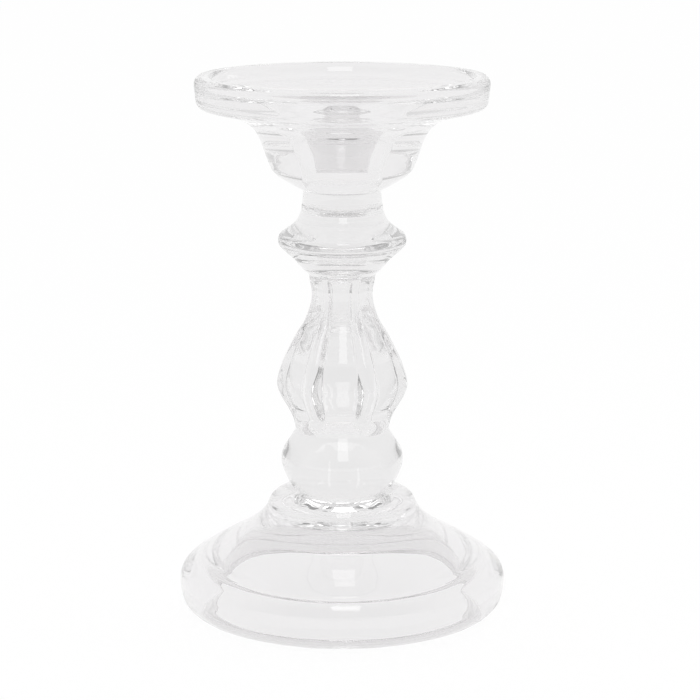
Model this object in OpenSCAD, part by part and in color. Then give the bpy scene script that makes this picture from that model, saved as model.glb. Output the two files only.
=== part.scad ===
// Pressed-glass candlestick, free standing.
// Z is the candlestick's axis and points up; the foot rests on the plane Z = 0.
// Every piece is a gather of clear glass, bonded face to face to its neighbours.

/* [Foot] */
// Widest diameter of the foot, round its rolled edge
foot_d = 123; // [122:1:130]
// Height of the rolled edge
roll_h = 19.8; // [18:0.2:22]
// Height of the foot, up to the shoulder wafer
foot_h = 41; // [40:0.5:44]
// Depth of the hollow under the foot
hollow_h = 36; // [35:0.5:37]
// Diameter of the hollow's flat ceiling
ceiling_d = 45.6; // [42:0.2:48]
// Height of the rounded ledge inside the rolled edge
ledge_h = 14.9; // [13.5:0.1:16]
// Diameter of the hollow's mouth
mouth_d = 102.4; // [101:0.2:103]

/* [Stem] */
// Height of the shoulder wafer between foot and ball
shoulder_h = 6.6; // [5:0.2:8]
// Diameter of the shoulder wafer
shoulder_d = 56.6; // [54:0.2:58]
// Height of the ball knop
ball_h = 22.7; // [20:0.1:26]
// Widest diameter of the ball knop
ball_d = 45.8; // [44:0.2:50]
// Height of the fluted baluster
baluster_h = 61.7; // [56:0.1:66]
// Widest diameter of the fluted baluster, over its ribs
baluster_d = 49; // [47:0.2:52]
// Diameter of the baluster's waist, over its ribs
waist_d = 23.2; // [22:0.2:26]
// Number of ribs round the baluster, with a flute between each two
rib_count = 6; // [4:1:8]
// Height of each rib where the baluster is widest
rib_height = 3.4; // [1:0.1:3.6]
// Angle that one rib covers, in degrees
rib_angle = 25; // [18:1:32]
// Turn of the flutes about the axis, in degrees
flute_turn = -2.5; // [-30:0.5:30]
// Height of the collar knop
knop_h = 20.8; // [19:0.2:24]
// Widest diameter of the collar knop
knop_d = 47.6; // [45:0.2:52]
// Height of the neck wafer
neck_h = 8; // [6:0.2:10]
// Diameter of the neck wafer at its lower ring
neck_d = 30.8; // [29:0.2:33]

/* [Candle dish] */
// Diameter of the dish over its rim
dish_d = 109; // [106:1:116]
// Height of the candle dish, from the neck to the rim
dish_h = 42.4; // [42:0.2:46]
// Diameter of the flat dish floor
floor_d = 77; // [72:1:80]
// Depth of the dish floor below the rim
floor_drop = 6; // [4:0.2:7]
// Diameter of the funnel where it opens from the dish floor
funnel_d = 44; // [40:1:50]
// Diameter of the candle socket at its mouth
socket_d = 25.4; // [23:0.2:27]
// Diameter of the candle socket at its bottom
socket_bottom_d = 19.4; // [17:0.2:21]
// Depth of the candle socket
socket_h = 12; // [8:0.5:14]
// Drop from the dish floor to the mouth of the socket
funnel_drop = 13.5; // [12:0.5:15]

/* [Hidden] */

// Seam diameters, where one gather meets the next
ball_seam_d = 37;
baluster_seam_d = 34.8;
cap_seam_d = 30.4;
neck_top_d = 29;

// Seam heights
shoulder_z = foot_h;
ball_z = shoulder_z + shoulder_h;
baluster_z = ball_z + ball_h;
knop_z = baluster_z + baluster_h;
neck_z = knop_z + knop_h;
dish_z = neck_z + neck_h;

// Steps in each stretch of a smooth outline, and of the foot's hollow
curve_steps = 5;
hollow_steps = 4;
// Facets from one rib of the baluster to the next, and rings in one stretch of it
rib_facets = 14;
rib_rings = 3;
// Length of a rib's rounded lower and upper end
rib_foot = 7;
rib_head = 5;
// Plain glass below the ribs and above them
rib_base = 1;
rib_cap = 2;
// Length over which the flutes run out at the lower and upper end of the baluster
flare_foot = 10;
flare_head = 4;
round_fn = 128;

// Tangent of a smooth outline at point i
function slope_at(points, i) =
    (points[min(i + 1, len(points) - 1)] - points[max(i - 1, 0)])
    / (i == 0 || i == len(points) - 1 ? 1 : 2);

// Point at share s of the stretch after point i, on a smooth curve through the points
function along(points, i, s) =
    (1 + 2 * s) * pow(1 - s, 2) * points[i]
    + s * pow(1 - s, 2) * slope_at(points, i)
    + s * s * (3 - 2 * s) * points[i + 1]
    + s * s * (s - 1) * slope_at(points, i + 1);

// Smooth curve through a few points, each [radius, height]
function smooth(points, steps) = [
    for (i = [0 : len(points) - 2])
        for (s = [0 : steps - 1])
            along(points, i, s / steps),
    points[len(points) - 1]
];

// Outline of one gather, turned about the axis
module turned(outline, base_z) {
    color([0.93, 0.95, 0.95, 0.45])
        translate([0, 0, base_z])
            rotate_extrude($fn = round_fn)
                polygon(outline);
}

// Spreading foot: rolled edge, dome, and the hollow with its rounded ledge underneath
module domed_foot() {
    foot_r = foot_d / 2;
    side = smooth([
        [foot_r - 9, 0], [foot_r - 4.4, 2], [foot_r - 1.2, 5.6], [foot_r, 11.5],
        [foot_r - 0.6, roll_h - 3.6], [foot_r - 3.3, roll_h], [foot_r - 9.4, 24],
        [foot_r - 16.3, 28], [foot_r - 23.5, 32], [shoulder_d / 2 + 4.2, 36],
        [shoulder_d / 2 + 1.2, foot_h - 2], [shoulder_d / 2, foot_h]
    ], curve_steps);
    mouth_r = mouth_d / 2;
    hollow = smooth([
        [ceiling_d / 2, hollow_h], [ceiling_d / 2 + 1.4, hollow_h - 0.4], [27.5, 33.7],
        [33, 30.4], [40, 25], [45, ledge_h + 4.7], [mouth_r - 3.8, ledge_h + 1],
        [mouth_r - 2.8, ledge_h], [mouth_r - 1.4, ledge_h - 1], [mouth_r - 0.6, ledge_h - 2.7],
        [mouth_r - 0.3, ledge_h - 6.9], [mouth_r, 0]
    ], hollow_steps);
    turned(concat(side, [[0, foot_h], [0, hollow_h]], hollow), 0);
}

// Rounded shoulder on top of the foot
module shoulder_wafer() {
    shoulder_r = shoulder_d / 2;
    side = smooth([
        [shoulder_r, 0], [shoulder_r - 1, 2.4], [shoulder_r - 3.1, 4.6],
        [shoulder_r - 6.5, shoulder_h - 0.4], [ball_seam_d / 2, shoulder_h]
    ], curve_steps);
    turned(concat([[0, 0]], side, [[0, shoulder_h]]), shoulder_z);
}

// Flattened ball under the baluster
module ball_knop() {
    ball_r = ball_d / 2;
    side = smooth([
        [ball_seam_d / 2, 0], [ball_r - 2.2, 3.9], [ball_r - 0.5, 8],
        [ball_r, 11.4], [ball_r - 0.7, 15], [ball_r - 2.9, 18.6],
        [baluster_seam_d / 2, ball_h]
    ], curve_steps);
    turned(concat([[0, 0]], side, [[0, ball_h]]), ball_z);
}

// Pear-shaped outline of the baluster over its ribs
function baluster_side(steps) = smooth([
    [baluster_seam_d / 2, 0], [baluster_d / 2 - 4.7, 6.7], [baluster_d / 2 - 1.3, 12.7],
    [baluster_d / 2, 18], [baluster_d / 2 - 2.3, 26], [baluster_d / 2 - 7, 35.7],
    [waist_d / 2 + 2.3, 41.8], [waist_d / 2 - 0.1, 49.5], [waist_d / 2 + 0.45, 55.7],
    [cap_seam_d / 2, baluster_h]
], steps);

// Smooth step from 0 to 1
function ease(share) =
    let (s = min(1, max(0, share)))
    s * s * (3 - 2 * s);

// How far a height lies inside a rib's rounded end: 0 along the rib, 1 at its tip
function end_share(z) = max(
    0,
    1 - (z - rib_base) / rib_foot,
    1 - (baluster_h - rib_cap - z) / rib_head
);

// Share of the full rib at a height, and at an angle from the rib's middle
function rib_share(z, angle) =
    max(0, 1 - pow(2 * angle / rib_angle, 2) - pow(end_share(z), 2));

// Depth of the flute where the radius over the ribs is r
function flute_cut(r, z, angle) =
    rib_height * 2 * r / baluster_d
    * ease(z / flare_foot) * ease((baluster_h - z) / flare_head)
    * (1 - rib_share(z, angle));

// Pear-shaped stem with rounded ribs and hollow flutes between them
module fluted_baluster() {
    side = baluster_side(rib_rings);
    facets = rib_count * rib_facets;
    pitch = 360 / rib_count;
    rings = len(side);
    points = [
        for (p = side)
            for (k = [0 : facets - 1])
                let (
                    from_rib = pitch * (k / rib_facets - round(k / rib_facets)),
                    angle = pitch * (k / rib_facets - 0.5) - 90 + flute_turn,
                    r = p[0] - flute_cut(p[0], p[1], from_rib)
                )
                [r * cos(angle), r * sin(angle), p[1]]
    ];
    walls = [
        for (i = [0 : rings - 2])
            for (k = [0 : facets - 1])
                let (a = i * facets + k, b = i * facets + (k + 1) % facets)
                each [[a, a + facets, b], [b, a + facets, b + facets]]
    ];
    bottom = [for (k = [0 : facets - 1]) k];
    top = [for (k = [0 : facets - 1]) rings * facets - 1 - k];
    color([0.93, 0.95, 0.95, 0.45])
        translate([0, 0, baluster_z])
            polyhedron(points = points, faces = concat([bottom], walls, [top]));
}

// Rounded collar standing on a small stepped cone
module collar_knop() {
    knop_r = knop_d / 2;
    cone = [[cap_seam_d / 2, 0], [knop_r - 5.9, 3.1]];
    bulge = smooth([
        [knop_r - 1.7, 6.8], [knop_r - 0.3, 8.5], [knop_r, 10.2], [knop_r - 0.6, 12.4],
        [knop_r - 3, 14.2], [knop_r - 5.5, 16.1], [knop_r - 7.2, 18.2], [neck_d / 2, knop_h]
    ], curve_steps);
    turned(concat([[0, 0]], cone, bulge, [[0, knop_h]]), knop_z);
}

// Short waisted ring of glass between knop and dish
module neck_wafer() {
    side = smooth([
        [neck_d / 2, 0], [neck_top_d / 2 + 0.3, neck_h / 2], [neck_top_d / 2, neck_h]
    ], curve_steps);
    turned(concat([[0, 0]], side, [[0, neck_h]]), neck_z);
}

// Dish with an upright rim, a funnel in its floor and a tapered candle socket
module candle_dish() {
    dish_r = dish_d / 2;
    floor_z = dish_h - floor_drop;
    mouth_z = floor_z - funnel_drop;
    side = smooth([
        [neck_top_d / 2, 0], [20.2, 3.2], [25.4, 6.9], [28, 12.2], [30.2, 18.4],
        [33.2, 23.4], [38.4, 27], [45, 29], [dish_r - 3.3, 30.4], [dish_r - 1, 32],
        [dish_r - 0.4, 35.2], [dish_r, 39.2], [dish_r - 0.3, 41], [dish_r - 1.7, dish_h]
    ], curve_steps);
    bowl = smooth([
        [dish_r - 5, dish_h], [dish_r - 6.2, dish_h - 0.23 * floor_drop],
        [dish_r - 8, dish_h - 0.7 * floor_drop], [dish_r - 12, dish_h - 0.95 * floor_drop],
        [floor_d / 2, floor_z]
    ], curve_steps);
    funnel = smooth([
        [funnel_d / 2, floor_z], [17, floor_z - 3], [14, floor_z - 7.6],
        [socket_d / 2, mouth_z]
    ], curve_steps);
    socket = [[socket_bottom_d / 2, mouth_z - socket_h], [0, mouth_z - socket_h]];
    turned(concat([[0, 0]], side, bowl, funnel, socket), dish_z);
}

domed_foot();
shoulder_wafer();
ball_knop();
fluted_baluster();
collar_knop();
neck_wafer();
candle_dish();
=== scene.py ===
import math

import bpy
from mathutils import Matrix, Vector


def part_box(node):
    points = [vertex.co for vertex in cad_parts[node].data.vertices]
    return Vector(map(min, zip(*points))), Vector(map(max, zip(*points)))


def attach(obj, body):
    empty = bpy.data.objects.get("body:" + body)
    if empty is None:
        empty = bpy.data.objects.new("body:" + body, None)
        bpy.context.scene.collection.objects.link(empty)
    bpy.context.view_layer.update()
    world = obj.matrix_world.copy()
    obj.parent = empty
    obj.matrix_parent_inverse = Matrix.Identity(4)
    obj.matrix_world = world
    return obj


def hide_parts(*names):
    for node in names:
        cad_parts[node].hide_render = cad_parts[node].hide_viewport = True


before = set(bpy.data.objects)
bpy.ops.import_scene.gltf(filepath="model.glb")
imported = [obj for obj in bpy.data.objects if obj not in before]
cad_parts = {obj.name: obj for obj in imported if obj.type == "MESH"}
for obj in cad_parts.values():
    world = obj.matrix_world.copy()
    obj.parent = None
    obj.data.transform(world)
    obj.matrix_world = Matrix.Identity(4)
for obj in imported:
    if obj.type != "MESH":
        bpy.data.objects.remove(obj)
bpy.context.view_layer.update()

MM = 0.001

# Mesh resolution: points round each ring, and steps in one stretch of an outline
SEGMENTS = 320
CURVE_STEPS = 12

# Ribs of the baluster: how many, half the angle of one, how far they stand out,
# the turn of the flute that faces the front, and their rounded ends
RIBS = 6
RIB_HALF_ANGLE = math.radians(12.5)
RIB_HEIGHT = 3.4
FLUTE_TURN = math.radians(-2.5)
RIB_FOOT = 7.0
RIB_HEAD = 5.0
RIB_BASE = 1.0
RIB_CAP = 2.0
FLARE_FOOT = 10.0
FLARE_HEAD = 4.0
RIB_SOFTNESS = 0.05

# How far the foot's outline stays inside the box of the CAD foot
FOOT_INSET = 0.05

# Seams, where one gather of glass meets the next
BALL_SEAM_R = 18.5
BALUSTER_SEAM_R = 17.4
CAP_SEAM_R = 15.2
NECK_TOP_R = 14.5

# Share of light left after crossing a solid gather, and after crossing one wall
SOLID_TINT = (0.845, 0.84, 0.842)
WALLED_TINT = (0.864, 0.857, 0.861)

# Index of refraction of common glass
GLASS_IOR = 1.5

# Ripples in the skin of the glass: how fine and how deep, in metres, and for each kind
# its stretch along x, y and z and its strength
RIPPLE_SCALE = 55.0
RIPPLE_DEPTH = 0.0004
SKIN_RIPPLES = (
    ((1, 1, 1), 0.04),
    ((0.5, 0.5, 1.5), 0.8),
    ((0.3, 0.3, 4), 0.25),
)

# Brightness of the surround behind the camera and behind the candlestick,
# and the depth directions between which it changes
WORLD_FRONT = 0.35
WORLD_BACK = 0.98
WORLD_FRONT_EDGE = -0.95
WORLD_BACK_EDGE = 0.1

# How often light may bounce or bend before it is given up as absorbed, and how many
# fused faces it may pass
GLASS_BOUNCES = 60
FUSED_FACES = 64

# Floor: radius in metres, points round its edge, gap under the foot in metres, and the
# grey and the glow of its surface
FLOOR_R = 4.5
FLOOR_POINTS = 96
FLOOR_GAP = 0.0001
FLOOR_GREY = 0.1
FLOOR_GLOW = 0.91

# Camera: place in metres, tilt below the horizon, lens in millimetres, and sideways shift
CAMERA_PLACE = (0.0, -1.0098, 0.3057)
CAMERA_TILT = math.radians(11.5)
CAMERA_LENS = 141.43
CAMERA_SENSOR = 36.0
CAMERA_SHIFT_X = 0.0112
CAMERA_CLIP = 0.05

# Softbox in front of and above the candlestick: place, aim, width, height and power
SOFTBOX_PLACE = (0.05, -1.1, 1.2)
SOFTBOX_AIM = (0, 0, 0.1)
SOFTBOX_W = 0.5
SOFTBOX_H = 0.8
SOFTBOX_POWER = 2.6


# ---------------------------------------------------------------- outlines

def slope_at(points, i):
    """Tangent of a smooth outline at point i."""
    before = points[max(i - 1, 0)]
    after = points[min(i + 1, len(points) - 1)]
    share = 1 if i in (0, len(points) - 1) else 2
    return ((after[0] - before[0]) / share, (after[1] - before[1]) / share)


def along(points, i, s):
    """Point at share s of the stretch after point i."""
    weights = (
        (1 + 2 * s) * (1 - s) ** 2,
        s * (1 - s) ** 2,
        s * s * (3 - 2 * s),
        s * s * (s - 1),
    )
    parts = (points[i], slope_at(points, i), points[i + 1], slope_at(points, i + 1))
    return tuple(sum(w * p[axis] for w, p in zip(weights, parts)) for axis in (0, 1))


def smooth(points, steps=CURVE_STEPS):
    """Smooth curve through a few points, each (radius, height) in millimetres."""
    curve = [
        along(points, i, step / steps)
        for i in range(len(points) - 1)
        for step in range(steps)
    ]
    return curve + [points[-1]]


def ease(share):
    """Smooth step from 0 to 1."""
    share = min(1, max(0, share))
    return share * share * (3 - 2 * share)


def node_size(node):
    """Foot, height and widest radius of a node, in millimetres."""
    low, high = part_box(node)
    return low[2] / MM, (high[2] - low[2]) / MM, (high[0] - low[0]) / MM / 2


# ---------------------------------------------------------------- meshes

def joined(stretches):
    """One outline from its stretches, with the material of each row and the sharp rows."""
    outline = [stretches[0][0][0]]
    row_material = []
    sharp_rows = []
    for points, index in stretches:
        outline += points[1:]
        row_material += [index] * (len(points) - 1)
        sharp_rows.append(len(outline) - 1)
    return outline, row_material, sharp_rows


def spun(outline, base_z, shape):
    """Vertices of an outline turned round the axis, and the ring that each point makes."""
    verts = []
    rings = []
    for r, z in outline:
        count = SEGMENTS if r > 0 else 1
        rings.append(range(len(verts), len(verts) + count))
        for k in range(count):
            turn = 2 * math.pi * k / SEGMENTS
            radius = shape(r, z, turn) if shape else r
            verts.append((
                radius * math.sin(turn) * MM,
                -radius * math.cos(turn) * MM,
                (base_z + z) * MM,
            ))
    return verts, rings


def skin(rings, row_material):
    """Faces between each ring and the next, with the material of each face."""
    faces = []
    face_material = []
    for lower, upper, index in zip(rings[:-1], rings[1:], row_material):
        for k in range(SEGMENTS):
            corners = (
                lower[k % len(lower)],
                lower[(k + 1) % len(lower)],
                upper[(k + 1) % len(upper)],
                upper[k % len(upper)],
            )
            face = list(dict.fromkeys(corners))
            if len(face) > 2:
                faces.append(face)
                face_material.append(index)
    return faces, face_material


def turned_piece(name, node, stretches, materials, shape=None):
    """Glass solid of revolution on top of a node.

    stretches is a list of (outline, material index); each one starts where the last ended,
    and the edge between them is sharp. shape(r, z, turn) bends the radius round the axis.
    """
    outline, row_material, sharp_rows = joined(stretches)
    verts, rings = spun(outline, node_size(node)[0], shape)
    faces, face_material = skin(rings, row_material)
    mesh = bpy.data.meshes.new(name)
    mesh.from_pydata(verts, [], faces)
    for material in materials:
        mesh.materials.append(material)
    mesh.polygons.foreach_set("material_index", face_material)
    mesh.polygons.foreach_set("use_smooth", [True] * len(faces))
    mark_sharp(mesh, [rings[row] for row in sharp_rows])
    mesh.update()
    piece = bpy.data.objects.new(name, mesh)
    bpy.context.scene.collection.objects.link(piece)
    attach(piece, "root")
    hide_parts(node)
    return piece


def mark_sharp(mesh, rings):
    """Marks the edges that run along the given rings as sharp."""
    ring_of = {v: i for i, ring in enumerate(rings) if len(ring) > 1 for v in ring}
    flags = []
    for edge in mesh.edges:
        a, b = edge.vertices
        flags.append(a in ring_of and ring_of.get(a) == ring_of.get(b))
    sharp = mesh.attributes.new("sharp_edge", "BOOLEAN", "EDGE")
    sharp.data.foreach_set("value", flags)


# ---------------------------------------------------------------- materials

def principled(name):
    """New material, with its node tree and shader."""
    material = bpy.data.materials.new(name)
    material.use_nodes = True
    tree = material.node_tree
    return material, tree, tree.nodes["Principled BSDF"]


def clear_glass(name, tint):
    """Fire-polished pressed glass: clear, with the faint waves and rings of its making."""
    material, tree, shader = principled(name)
    shader.inputs["Base Color"].default_value = (*tint, 1.0)
    shader.inputs["Transmission Weight"].default_value = 1.0
    shader.inputs["IOR"].default_value = GLASS_IOR
    shader.inputs["Roughness"].default_value = 0.0
    place = tree.nodes.new("ShaderNodeTexCoord")
    normal = None
    for stretch, strength in SKIN_RIPPLES:
        fit = tree.nodes.new("ShaderNodeMapping")
        fit.inputs["Scale"].default_value = stretch
        ripple = tree.nodes.new("ShaderNodeTexNoise")
        ripple.inputs["Scale"].default_value = RIPPLE_SCALE
        ripple.inputs["Detail"].default_value = 1.0
        bump = tree.nodes.new("ShaderNodeBump")
        bump.inputs["Strength"].default_value = strength
        bump.inputs["Distance"].default_value = RIPPLE_DEPTH
        tree.links.new(place.outputs["Object"], fit.inputs["Vector"])
        tree.links.new(fit.outputs["Vector"], ripple.inputs["Vector"])
        tree.links.new(ripple.outputs["Fac"], bump.inputs["Height"])
        if normal:
            tree.links.new(normal, bump.inputs["Normal"])
        normal = bump.outputs["Normal"]
    tree.links.new(normal, shader.inputs["Normal"])
    return material


def bonded_glass():
    """Face where one gather is fused to the next, so light goes straight through."""
    material = bpy.data.materials.new("bonded_glass")
    material.use_nodes = True
    tree = material.node_tree
    tree.nodes.clear()
    out = tree.nodes.new("ShaderNodeOutputMaterial")
    through = tree.nodes.new("ShaderNodeBsdfTransparent")
    tree.links.new(through.outputs["BSDF"], out.inputs["Surface"])
    return material


def floor_white():
    """Plain pale floor."""
    material, tree, shader = principled("floor_white")
    shader.inputs["Base Color"].default_value = (FLOOR_GREY, FLOOR_GREY, FLOOR_GREY, 1.0)
    shader.inputs["Roughness"].default_value = 0.9
    shader.inputs["Specular IOR Level"].default_value = 0.0
    shader.inputs["Emission Color"].default_value = (1.0, 1.0, 1.0, 1.0)
    shader.inputs["Emission Strength"].default_value = FLOOR_GLOW
    return material


# ---------------------------------------------------------------- pieces

GLASS, BOND = 0, 1
bonded = bonded_glass()
solid_glass = [clear_glass("solid_glass", SOLID_TINT), bonded]
walled_glass = [clear_glass("walled_glass", WALLED_TINT), bonded]


def domed_foot():
    """Spreading foot: rolled edge, dome, and the hollow with its ledge underneath."""
    _, foot_h, box_r = node_size("domed_foot")
    foot_r = box_r - FOOT_INSET
    shoulder_r = node_size("shoulder_wafer")[2]
    rest_r = foot_r - 9
    mouth_r, ceiling_r, hollow_h = 51.2, 22.8, 36.0
    roll = smooth([
        (rest_r, 0), (foot_r - 4.4, 2), (foot_r - 1.2, 5.6), (foot_r, 11.5),
        (foot_r - 0.6, 16.2), (foot_r - 3.3, 19.8), (foot_r - 9.4, 24), (foot_r - 16.3, 28),
        (foot_r - 23.5, 32), (shoulder_r + 4.2, 36), (shoulder_r + 1.2, foot_h - 2),
        (shoulder_r, foot_h),
    ])
    hollow = smooth([
        (ceiling_r, hollow_h), (ceiling_r + 1.4, hollow_h - 0.4), (27.5, 33.7), (33, 30.4),
        (40, 25), (45, 19.6), (mouth_r - 3.8, 15.9), (mouth_r - 2.8, 14.9),
        (mouth_r - 1.4, 13.9), (mouth_r - 0.6, 12.2), (mouth_r - 0.3, 8), (mouth_r, 0),
    ])
    return turned_piece("domed_foot_glass", "domed_foot", [
        (roll, GLASS),
        ([(shoulder_r, foot_h), (0, foot_h)], BOND),
        ([(0, foot_h), (0, hollow_h)], GLASS),
        ([(0, hollow_h), (ceiling_r, hollow_h)], GLASS),
        (hollow, GLASS),
        ([(mouth_r, 0), (rest_r, 0)], GLASS),
    ], walled_glass)


def shoulder_wafer():
    """Rounded shoulder on top of the foot."""
    _, height, r = node_size("shoulder_wafer")
    side = smooth([
        (r, 0), (r - 1, 2.4), (r - 3.1, 4.6), (r - 6.5, height - 0.4), (BALL_SEAM_R, height),
    ])
    return turned_piece("shoulder_wafer_glass", "shoulder_wafer", [
        ([(0, 0), (r, 0)], BOND), (side, GLASS), ([(BALL_SEAM_R, height), (0, height)], BOND),
    ], solid_glass)


def ball_knop():
    """Flattened ball under the baluster."""
    _, height, r = node_size("ball_knop")
    side = smooth([
        (BALL_SEAM_R, 0), (r - 2.2, 3.9), (r - 0.5, 8), (r, 11.4), (r - 0.7, 15),
        (r - 2.9, 18.6), (BALUSTER_SEAM_R, height),
    ])
    return turned_piece("ball_knop_glass", "ball_knop", [
        ([(0, 0), (BALL_SEAM_R, 0)], BOND), (side, GLASS),
        ([(BALUSTER_SEAM_R, height), (0, height)], BOND),
    ], solid_glass)


def fluted_baluster():
    """Pear-shaped stem with rounded ribs and hollow flutes between them."""
    _, height, _ = node_size("fluted_baluster")
    r, waist_r = 24.5, 11.6
    side = smooth([
        (BALUSTER_SEAM_R, 0), (r - 4.7, 6.7), (r - 1.3, 12.7), (r, 18), (r - 2.3, 26),
        (r - 7, 35.7), (waist_r + 2.3, 41.8), (waist_r - 0.1, 49.5), (waist_r + 0.45, 55.7),
        (CAP_SEAM_R, height),
    ])

    def ribbed(radius, z, turn):
        """Radius at this height and turn: full on a rib, less in the flute between two."""
        pitch = 2 * math.pi / RIBS
        from_flute = (turn - FLUTE_TURN) % pitch
        share = (from_flute - pitch / 2) / RIB_HALF_ANGLE
        end = max(
            0, 1 - (z - RIB_BASE) / RIB_FOOT, 1 - (height - RIB_CAP - z) / RIB_HEAD,
        )
        rib = 1 - share * share - end * end
        rib = min(1, (rib + math.hypot(rib, RIB_SOFTNESS)) / 2)
        flare = ease(z / FLARE_FOOT) * ease((height - z) / FLARE_HEAD)
        return radius - RIB_HEIGHT * radius / r * flare * (1 - rib)

    return turned_piece("fluted_baluster_glass", "fluted_baluster", [
        ([(0, 0), (BALUSTER_SEAM_R, 0)], BOND), (side, GLASS),
        ([(CAP_SEAM_R, height), (0, height)], BOND),
    ], solid_glass, shape=ribbed)


def collar_knop():
    """Rounded collar standing on a small stepped cone."""
    _, height, r = node_size("collar_knop")
    neck_r = node_size("neck_wafer")[2]
    step = (r - 5.9, 3.1)
    edge = (r - 1.7, 6.8)
    bulge = smooth([
        edge, (r - 0.3, 8.5), (r, 10.2), (r - 0.6, 12.4), (r - 3, 14.2),
        (r - 5.5, 16.1), (r - 7.2, 18.2), (neck_r, height),
    ])
    return turned_piece("collar_knop_glass", "collar_knop", [
        ([(0, 0), (CAP_SEAM_R, 0)], BOND),
        ([(CAP_SEAM_R, 0), step], GLASS),
        ([step, edge], GLASS),
        (bulge, GLASS),
        ([(neck_r, height), (0, height)], BOND),
    ], solid_glass)


def neck_wafer():
    """Short waisted ring of glass between knop and dish."""
    _, height, r = node_size("neck_wafer")
    side = smooth([(r, 0), (NECK_TOP_R + 0.3, height / 2), (NECK_TOP_R, height)])
    return turned_piece("neck_wafer_glass", "neck_wafer", [
        ([(0, 0), (r, 0)], BOND), (side, GLASS), ([(NECK_TOP_R, height), (0, height)], BOND),
    ], solid_glass)


def candle_dish():
    """Dish with an upright rim, a funnel in its floor and a tapered candle socket."""
    _, height, r = node_size("candle_dish")
    lip_outer = (r - 1.7, height)
    lip_inner = (r - 5, height)
    floor_r, floor_z, funnel_r = 38.5, height - 6, 22
    socket_r, socket_bottom_r, socket_h = 12.7, 9.7, 12
    mouth_z = floor_z - 13.5
    socket_z = mouth_z - socket_h
    bell = smooth([
        (NECK_TOP_R, 0), (20.2, 3.2), (25.4, 6.9), (28, 12.2), (30.2, 18.4), (33.2, 23.4),
        (38.4, 27), (45, 29), (r - 3.3, 30.4), (r - 1, 32), (r - 0.4, 35.2), (r, 39.2),
        (r - 0.3, 41), lip_outer,
    ])
    bowl = smooth([
        lip_inner, (r - 6.2, height - 1.4), (r - 8, height - 4.2), (r - 12, height - 5.7),
        (floor_r, floor_z),
    ])
    funnel = smooth([
        (funnel_r, floor_z), (17, floor_z - 3), (14, floor_z - 7.6), (socket_r, mouth_z),
    ])
    return turned_piece("candle_dish_glass", "candle_dish", [
        ([(0, 0), (NECK_TOP_R, 0)], BOND),
        (bell, GLASS),
        ([lip_outer, lip_inner], GLASS),
        (bowl, GLASS),
        ([(floor_r, floor_z), (funnel_r, floor_z)], GLASS),
        (funnel, GLASS),
        ([(socket_r, mouth_z), (socket_bottom_r, socket_z)], GLASS),
        ([(socket_bottom_r, socket_z), (0, socket_z)], GLASS),
    ], walled_glass)


# ---------------------------------------------------------------- studio

def studio_floor():
    """Round pale floor under the foot."""
    mesh = bpy.data.meshes.new("studio_floor")
    verts = [
        (
            FLOOR_R * math.cos(2 * math.pi * k / FLOOR_POINTS),
            FLOOR_R * math.sin(2 * math.pi * k / FLOOR_POINTS),
            0,
        )
        for k in range(FLOOR_POINTS)
    ]
    mesh.from_pydata(verts, [], [tuple(range(FLOOR_POINTS))])
    mesh.materials.append(floor_white())
    floor = bpy.data.objects.new("studio_floor", mesh)
    floor.location.z = -FLOOR_GAP
    bpy.context.scene.collection.objects.link(floor)


def studio_world():
    """Soft white surround, brightest behind the candlestick and dimmest behind the camera."""
    world = bpy.data.worlds.new("studio")
    bpy.context.scene.world = world
    world.use_nodes = True
    tree = world.node_tree
    tree.nodes.clear()
    out = tree.nodes.new("ShaderNodeOutputWorld")
    light = tree.nodes.new("ShaderNodeBackground")
    light.inputs["Color"].default_value = (1.0, 1.0, 1.0, 1.0)
    place = tree.nodes.new("ShaderNodeTexCoord")
    split = tree.nodes.new("ShaderNodeSeparateXYZ")
    depth = tree.nodes.new("ShaderNodeMapRange")
    depth.interpolation_type = "SMOOTHSTEP"
    depth.inputs["From Min"].default_value = WORLD_FRONT_EDGE
    depth.inputs["From Max"].default_value = WORLD_BACK_EDGE
    depth.inputs["To Min"].default_value = WORLD_FRONT
    depth.inputs["To Max"].default_value = WORLD_BACK
    tree.links.new(place.outputs["Generated"], split.inputs[0])
    tree.links.new(split.outputs["Y"], depth.inputs["Value"])
    tree.links.new(depth.outputs["Result"], light.inputs["Strength"])
    tree.links.new(light.outputs["Background"], out.inputs["Surface"])


def softbox():
    """Rectangular studio light in front of and above the candlestick."""
    data = bpy.data.lights.new("front_softbox", "AREA")
    data.shape = "RECTANGLE"
    data.size = SOFTBOX_W
    data.size_y = SOFTBOX_H
    data.energy = SOFTBOX_POWER
    lamp = bpy.data.objects.new("front_softbox", data)
    lamp.location = SOFTBOX_PLACE
    aim = Vector(SOFTBOX_AIM) - Vector(SOFTBOX_PLACE)
    lamp.rotation_euler = aim.to_track_quat("-Z", "Y").to_euler()
    bpy.context.scene.collection.objects.link(lamp)


def camera():
    """Long lens at table-top distance, looking slightly down."""
    data = bpy.data.cameras.new("camera")
    data.lens = CAMERA_LENS
    data.sensor_width = CAMERA_SENSOR
    data.shift_x = CAMERA_SHIFT_X
    data.clip_start = CAMERA_CLIP
    eye = bpy.data.objects.new("camera", data)
    eye.location = CAMERA_PLACE
    eye.rotation_euler = (math.pi / 2 - CAMERA_TILT, 0.0, 0.0)
    bpy.context.scene.collection.objects.link(eye)
    bpy.context.scene.camera = eye


def light_paths():
    """Enough bounces for all light to leave the glass, save a little in its thick edges."""
    cycles = bpy.context.scene.cycles
    cycles.max_bounces = GLASS_BOUNCES
    cycles.transmission_bounces = GLASS_BOUNCES
    cycles.glossy_bounces = GLASS_BOUNCES
    cycles.transparent_max_bounces = FUSED_FACES
    cycles.blur_glossy = 0.0
    bpy.context.scene.view_settings.view_transform = "Standard"


camera()
domed_foot()
shoulder_wafer()
ball_knop()
fluted_baluster()
collar_knop()
neck_wafer()
candle_dish()
studio_floor()
studio_world()
softbox()
light_paths()
